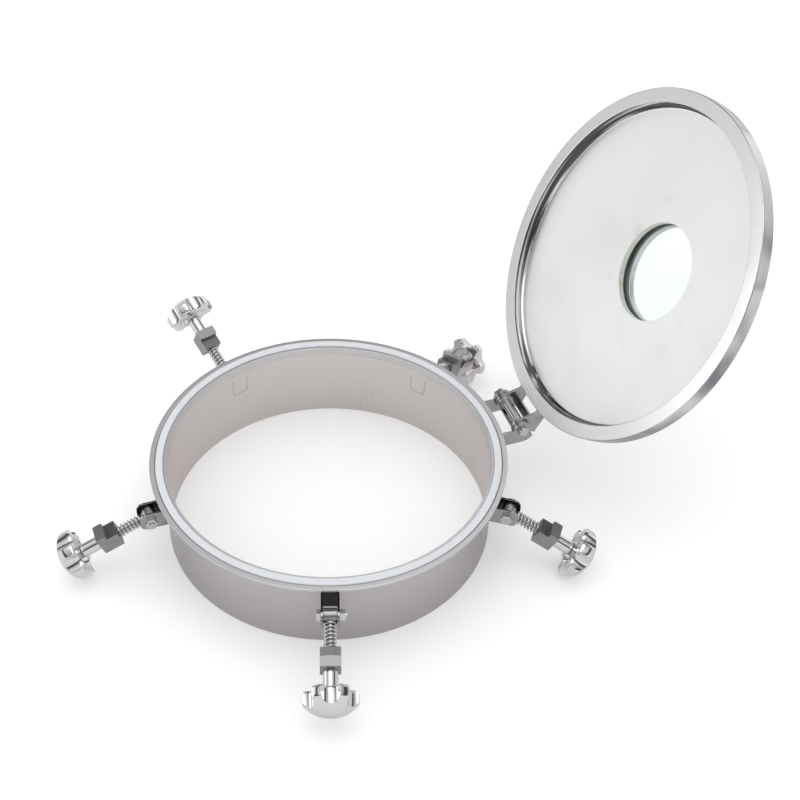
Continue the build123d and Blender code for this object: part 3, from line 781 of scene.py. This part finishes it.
def lift_handle():
    bend = HANDLE_BEND_R
    foot_z = PLATE_Z1 - 0.5 * MM
    corners = []
    for side in (-1, 1):
        leg = [(side * HANDLE_HALF, HANDLE_Y, foot_z),
               (side * HANDLE_HALF, HANDLE_Y, HANDLE_TOP_Z - bend)]
        arc = [(side * (HANDLE_HALF - bend * (1 - cos(turn))), HANDLE_Y,
                HANDLE_TOP_Z - bend * (1 - sin(turn)))
               for turn in [pi / 2 * step / 10 for step in range(1, 11)]]
        corners.append(leg + arc)
    rod = round_wire("lift_handle_bar", corners[0] + corners[1][::-1], HANDLE_BAR_R, 10, 40)
    dressed(moved(rod, OPENING), "lid", RIM_STEEL, "lift_handle")


def lid_bracket():
    dressed(softened("hinge_lid_bracket", 0.3 * MM), "lid", BRACKET_STEEL, "hinge_lid_bracket")


# ------------------------------------------------------------------ clamp pieces, pivot at the origin
def claw_shape():
    piece = block((CLAW_NEAR, -CLAW_W / 2, -CLAW_BACK_SIDE), (CLAW_FAR, CLAW_W / 2, CLAW_LID_SIDE))
    piece.name = "claw_block"
    sag = CLAW_CROWN
    crown_r = ((CLAW_W / 2) ** 2 + sag ** 2) / (2 * sag)
    pocket_floor = CLAW_LID_SIDE - CLAW_POCKET
    pocket = block((CLAW_NEAR - CUT_OVER, -CLAW_W, pocket_floor),
                   (CLAW_SHOULDER + crown_r, CLAW_W, CLAW_LID_SIDE + CUT_OVER))
    crown = bar(crown_r, (CLAW_SHOULDER + crown_r, 0, 0), (CLAW_SHOULDER + crown_r, 0, 0.1), 720)
    cut_by(pocket, crown)
    bore = bar(ROD_R + ROD_FIT, (CLAW_NEAR - MM, 0, 0), (CLAW_FAR + MM, 0, 0), 40)
    cut_by(piece, pocket, bore)
    bevelled(piece, 0.8 * MM, 3, 30)
    # Rounded edge faces take a lighter finish: a painted highlight along the edges.
    for finish in (CAST_STEEL, CLAW_EDGE_PAINTED_HIGHLIGHT, CLAW_POCKET_PAINTED_SHADE):
        piece.data.materials.append(finish)
    square_on = 0.96             # cosine past which a face counts as flat and not as an edge
    # The pocket floor takes a darker finish: painted shade in the recess.
    for face in piece.data.polygons:
        if max(abs(part) for part in face.normal) < square_on:
            face.material_index = 1
        elif face.normal.z > square_on and abs(face.center.z - pocket_floor) < 0.1 * MM:
            face.material_index = 2
    return piece


def eye_bolt_shape():
    """Eye on the pivot with a threaded rod growing out of it."""
    eye = bar(EYE_R, (0, -EYE_HALF, 0), (0, EYE_HALF, 0), 64)
    eye.name = "swing_bolt_rod"
    cut_by(eye, bar(PIVOT_HOLE_R, (0, -EYE_HALF - MM, 0), (0, EYE_HALF + MM, 0), 40))
    bevelled(eye, 0.35 * MM, 2, 40)
    root_r = ROD_R - THREAD_DEPTH
    start = EYE_R * 0.55
    turns = int((ROD_END - EYE_R - THREAD_PITCH) / THREAD_PITCH)
    outline = [(ROD_R, start), (ROD_R, ROD_END - turns * THREAD_PITCH)]
    for turn in range(turns):
        crest = outline[1][1] + turn * THREAD_PITCH
        outline += [(root_r, crest + THREAD_PITCH / 2), (ROD_R, crest + THREAD_PITCH)]
    rod = turned("threaded_rod", outline, 32, closed=False)
    moved(rod, Matrix.Rotation(pi / 2, 4, "Y"))
    pick(eye)
    join = eye.modifiers.new("join", "BOOLEAN")
    join.operation = "UNION"
    join.object = rod
    bpy.ops.object.modifier_apply(modifier=join.name)
    bpy.data.objects.remove(rod, do_unlink=True)
    bpy.ops.object.shade_smooth_by_angle(angle=radians(28))
    return eye


def spring_shape():
    """Open coil round the rod, from the eye to the claw."""
    start = EYE_R + SPRING_WIRE_R + SPRING_END_GAP
    length = CLAW_NEAR - SPRING_WIRE_R - SPRING_END_GAP - start
    per_turn = 24
    count = int(SPRING_TURNS * per_turn)
    coil = []
    for step in range(count + 1):
        turn = tau * step / per_turn
        coil.append((start + length * step / count, SPRING_R * cos(turn), SPRING_R * sin(turn)))
    return round_wire("clamp_spring", coil, SPRING_WIRE_R, 3, 50)


def sleeve_shape():
    piece = turned("knob_bush", [
        (ROD_R + ROD_FIT, SLEEVE_NEAR), (SLEEVE_R, SLEEVE_NEAR), (SLEEVE_R, COLLAR_NEAR),
        (COLLAR_R, COLLAR_NEAR), (COLLAR_R, DISH_FLOOR), (ROD_R + ROD_FIT, DISH_FLOOR)], 64)
    bevelled(piece, 0.4 * MM)
    return moved(piece, Matrix.Rotation(pi / 2, 4, "Y"))


def lobed_radius(turn):
    """Radius of the knob's outline: a circle with six scallops cut into it."""
    spacing = tau / KNOB_LOBES
    off = (turn + spacing / 2) % spacing - spacing / 2
    reach = SCALLOP_R ** 2 - (SCALLOP_OUT * sin(off)) ** 2
    if reach <= 0:
        return KNOB_R
    return min(KNOB_R, SCALLOP_OUT * cos(off) - sqrt(reach))


def dome_height(radius):
    """Height of the knob's crown at a distance from its axis."""
    rise = KNOB_TOP - KNOB_SHOULDER
    dome_r = (KNOB_R ** 2 + rise ** 2) / (2 * rise)
    return KNOB_TOP - dome_r + sqrt(dome_r ** 2 - radius ** 2)


def knob_shape():
    """A ring in the lobed outline, extruded up the side, over the dome and back under to the dish."""
    steps = 240
    rim_round = 1.6 * MM         # how far the underside's flat edge lies inside the outline
    nothing_picked()
    bpy.ops.mesh.primitive_circle_add(vertices=steps, radius=KNOB_R, location=(0, 0, 0))
    piece = bpy.context.object
    piece.name = "hand_knob"
    mesh = piece.data

    def shape_ring(ring, share, height):
        """Lays one ring of points on the outline, shrunk by a share, at a height or on the dome."""
        for index in ring:
            point = mesh.vertices[index].co
            turn = atan2(point.y, point.x)
            radius = lobed_radius(turn) * share
            level = dome_height(radius) if height is None else height
            mesh.vertices[index].co = (radius * cos(turn), radius * sin(turn), level)

    def grow_ring():
        """Extrudes the last ring once and gives the new ring's points."""
        before = len(mesh.vertices)
        bpy.ops.object.mode_set(mode="EDIT")
        bpy.ops.mesh.extrude_edges_move(TRANSFORM_OT_translate={"value": (0, 0, MM)})
        bpy.ops.object.mode_set(mode="OBJECT")
        return range(before, len(mesh.vertices))

    bpy.ops.object.mode_set(mode="EDIT")
    bpy.ops.mesh.select_mode(type="EDGE")
    bpy.ops.mesh.select_all(action="SELECT")
    bpy.ops.object.mode_set(mode="OBJECT")
    shape_ring(range(steps), 0.985, KNOB_TIP + 1.5 * MM)
    for share, height in ((1.0, KNOB_TIP + 3.0 * MM), (1.0, KNOB_SHOULDER - 3.0 * MM),
                          (0.995, KNOB_SHOULDER - 1.2 * MM)):
        shape_ring(grow_ring(), share, height)
    for share in (0.975, 0.94, 0.88, 0.78, 0.66, 0.52, 0.38, 0.24, 0.12, 0.04):
        shape_ring(grow_ring(), share, None)
    bpy.ops.object.mode_set(mode="EDIT")
    bpy.ops.mesh.edge_face_add()
    bpy.ops.mesh.select_all(action="DESELECT")
    bpy.ops.mesh.select_non_manifold()
    bpy.ops.object.mode_set(mode="OBJECT")
    for radius, level in ((None, KNOB_TIP), (DISH_R + 1.5 * MM, KNOB_TIP), (DISH_R, KNOB_TIP + 1.2 * MM),
                          (DISH_R - 1.6 * MM, DISH_FLOOR), (ROD_R, DISH_FLOOR)):
        ring = grow_ring()
        for index in ring:
            point = mesh.vertices[index].co
            turn = atan2(point.y, point.x)
            reach = lobed_radius(turn) - rim_round if radius is None else radius
            mesh.vertices[index].co = (reach * cos(turn), reach * sin(turn), level)
    bpy.ops.object.mode_set(mode="EDIT")
    bpy.ops.mesh.edge_face_add()
    bpy.ops.mesh.select_mode(type="VERT")
    bpy.ops.object.mode_set(mode="OBJECT")
    face_outwards(piece)
    bevelled(piece, 0.45 * MM, 3, 30)
    return moved(piece, Matrix.Rotation(pi / 2, 4, "Y"))


def place_clamps():
    shapes = [(eye_bolt_shape(), "swing_bolt", ROD_STEEL, "eye_bolt"),
              (claw_shape(), "claw", None, "claw"),
              (sleeve_shape(), "knob", KNOB_STEEL, "knob_sleeve"),
              (knob_shape(), "knob", KNOB_STEEL, "knob")]
    spring = spring_shape()
    for number, droop in enumerate(CLAMP_DROOPS, start=1):
        place = clamp_place(number, droop)
        for shape, body, finish, name in shapes:
            piece = copied(shape, f"{shape.name}_{number}")
            dressed(moved(piece, place), f"{body}_{number}", finish, f"{name}_{number}")
        coil = moved(copied(spring, f"{spring.name}_{number}"), place)
        coil.data.materials.append(SPRING_STEEL)
        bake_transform(coil)
        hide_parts(f"spring_{number}")
    for shape, *_ in shapes:
        bpy.data.objects.remove(shape, do_unlink=True)
    bpy.data.objects.remove(spring, do_unlink=True)


def copied(shape, name):
    """A copy of a finished shape with a mesh of its own."""
    pick(shape)
    bpy.ops.object.duplicate()
    piece = bpy.context.object
    piece.name = name
    return piece


# ------------------------------------------------------------------ studio
def in_reflections(tree):
    """Socket that is 1 for what a surface mirrors, and 0 for the eye and for rays through glass."""
    path = node(tree, "ShaderNodeLightPath")
    return maths(tree, "SUBTRACT", path.outputs["Is Glossy Ray"], path.outputs["Is Transmission Ray"])


def floor():
    nothing_picked()
    bpy.ops.mesh.primitive_circle_add(vertices=96, radius=14.0, fill_type="NGON", location=(0, 0, 0))
    ground = bpy.context.object
    ground.name = "pale_floor"
    finish = bpy.data.materials.new("pale_floor")
    finish.use_nodes = True
    tree = finish.node_tree
    shader = tree.nodes["Principled BSDF"]
    shader.inputs["Base Color"].default_value = (0.93, 0.93, 0.93, 1)
    shader.inputs["Roughness"].default_value = 0.9
    shader.inputs["Specular IOR Level"].default_value = 0.0
    shader.inputs["Emission Color"].default_value = (1.0, 1.0, 1.0, 1)
    shader.inputs["Emission Strength"].default_value = 0.14
    grey = node(tree, "ShaderNodeBsdfDiffuse")
    grey.inputs["Color"].default_value = (0.72, 0.71, 0.72, 1)
    mix = node(tree, "ShaderNodeMixShader")
    tree.links.new(in_reflections(tree), mix.inputs[0])
    tree.links.new(shader.outputs[0], mix.inputs[1])
    tree.links.new(grey.outputs[0], mix.inputs[2])
    tree.links.new(mix.outputs[0], tree.nodes["Material Output"].inputs["Surface"])
    ground.data.materials.append(finish)


def sky():
    """White tent for the eye; for reflections, white overhead with darker gaps near the horizon."""
    world = bpy.data.worlds.new("studio")
    bpy.context.scene.world = world
    world.use_nodes = True
    tree = world.node_tree
    background = tree.nodes["Background"]
    place = node(tree, "ShaderNodeTexCoord")
    parts = node(tree, "ShaderNodeSeparateXYZ")
    tree.links.new(place.outputs["Generated"], parts.inputs[0])
    up = node(tree, "ShaderNodeValToRGB")
    stops = [(0.0, 0.5), (0.5, 0.6), (0.53, 0.95), (0.66, 0.95), (0.70, 0.10), (0.80, 0.10),
             (0.835, 0.66), (0.90, 0.7), (0.95, 1.1), (1.0, 1.1)]
    ramp = up.color_ramp
    ramp.elements[0].position = stops[0][0]
    ramp.elements[0].color = (stops[0][1],) * 3 + (1,)
    ramp.elements[1].position = stops[-1][0]
    ramp.elements[1].color = (stops[-1][1],) * 3 + (1,)
    for position, level in stops[1:-1]:
        stop = ramp.elements.new(position)
        stop.color = (level, level, level, 1)
    height = maths(tree, "MULTIPLY_ADD", parts.outputs["Z"], 0.5, 0.5)
    tree.links.new(height, up.inputs["Fac"])
    turn = maths(tree, "ARCTAN2", parts.outputs["Y"], parts.outputs["X"])
    wave = maths(tree, "SINE", maths(tree, "MULTIPLY_ADD", turn, 3.0, 0.6))
    wave = maths(tree, "MULTIPLY_ADD", wave, 0.22, 0.85)
    seen = node(tree, "ShaderNodeMix", data_type="RGBA", blend_type="MULTIPLY")
    seen.inputs[0].default_value = 1.0
    tree.links.new(up.outputs["Color"], seen.inputs[6])
    tree.links.new(wave, seen.inputs[7])
    choice = node(tree, "ShaderNodeMix", data_type="RGBA")
    choice.inputs[6].default_value = (1.0, 1.0, 1.0, 1)
    tree.links.new(in_reflections(tree), choice.inputs[0])
    tree.links.new(seen.outputs[2], choice.inputs[7])
    tree.links.new(choice.outputs[2], background.inputs["Color"])
    background.inputs["Strength"].default_value = 1.0


def softbox(name, place, aim, width, height, power):
    nothing_picked()
    bpy.ops.object.light_add(type="AREA", location=place)
    lamp = bpy.context.object
    lamp.name = name
    lamp.data.shape = "RECTANGLE"
    lamp.data.size = width
    lamp.data.size_y = height
    lamp.data.energy = power
    lamp.rotation_euler = (Vector(aim) - Vector(place)).to_track_quat("-Z", "Y").to_euler()


def camera():
    nothing_picked()
    bpy.ops.object.camera_add(location=(0, 0, 0))
    viewer = bpy.context.object
    viewer.name = "viewpoint"
    place = Matrix.Translation((0.9537, -0.3083, 1.0648))
    heading = Matrix.Rotation(radians(68.453), 4, "Z")
    tilt = Matrix.Rotation(radians(47.62), 4, "X")
    roll = Matrix.Rotation(radians(2.034), 4, "Z")
    viewer.matrix_world = place @ heading @ tilt @ roll
    viewer.data.lens = 68.2
    viewer.data.sensor_width = 36.0
    bpy.context.scene.camera = viewer


neck_tube()
rim_flange()
rim_gasket()
neck_fittings()
lid_rim()
lid_plate()
sight_stack()
lift_handle()
lid_bracket()
place_clamps()
floor()
sky()
softbox("overhead", (0.2, 0.0, 2.2), (0.0, 0.1, 0.1), 1.6, 1.6, 5.0)
softbox("left_front", (-0.9, -1.8, 0.7), (0.0, 0.2, 0.2), 1.2, 1.0, 3.0)
camera()
bpy.context.scene.view_settings.view_transform = "Standard"
